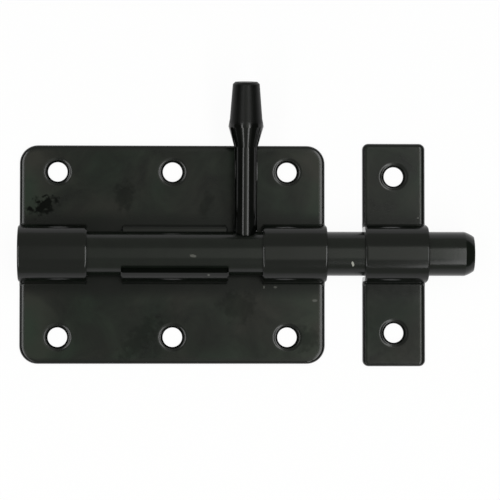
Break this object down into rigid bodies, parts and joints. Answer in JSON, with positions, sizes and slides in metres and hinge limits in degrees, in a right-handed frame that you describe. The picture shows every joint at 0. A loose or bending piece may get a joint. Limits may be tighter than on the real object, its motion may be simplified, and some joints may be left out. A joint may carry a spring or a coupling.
{
  "type": "flat slide bolt",
  "caption": "Black pressed-steel slide bolt: a screw-on plate with loops and two slot lips guides a round rod with a turning handle into a separate loop keeper.",
  "frame": {"origin": "centre of the base plate's screw holes, on its back face", "axes": "+X along the rod towards the keeper, +Y across the plate towards the handle, +Z out of the door"},
  "size_m": [0.148, 0.0923, 0.0225],
  "materials": {
    "coated_sheet": "satin black coat on pressed steel sheet",
    "coated_rod": "satin black coat on round steel bar",
    "coated_handle": "half-gloss black coat on a turned steel pin"
  },
  "bodies": {
    "plate_and_keeper": {"base_plate": "coated_sheet", "keeper": "coated_sheet"},
    "rod": {"bolt_rod": "coated_rod"},
    "handle": {"handle": "coated_handle"}
  },
  "joints": [
    {"name": "bolt_slide", "type": "slide", "parent": "plate_and_keeper", "child": "rod", "axis": [1, 0, 0], "range_m": [-0.0473, 0.0014]},
    {"name": "handle_turn", "type": "hinge", "parent": "rod", "child": "handle", "pos_m": [0.02365, 0, 0.00945], "axis": [1, 0, 0], "range_deg": [-14.2, 175.9]}
  ]
}
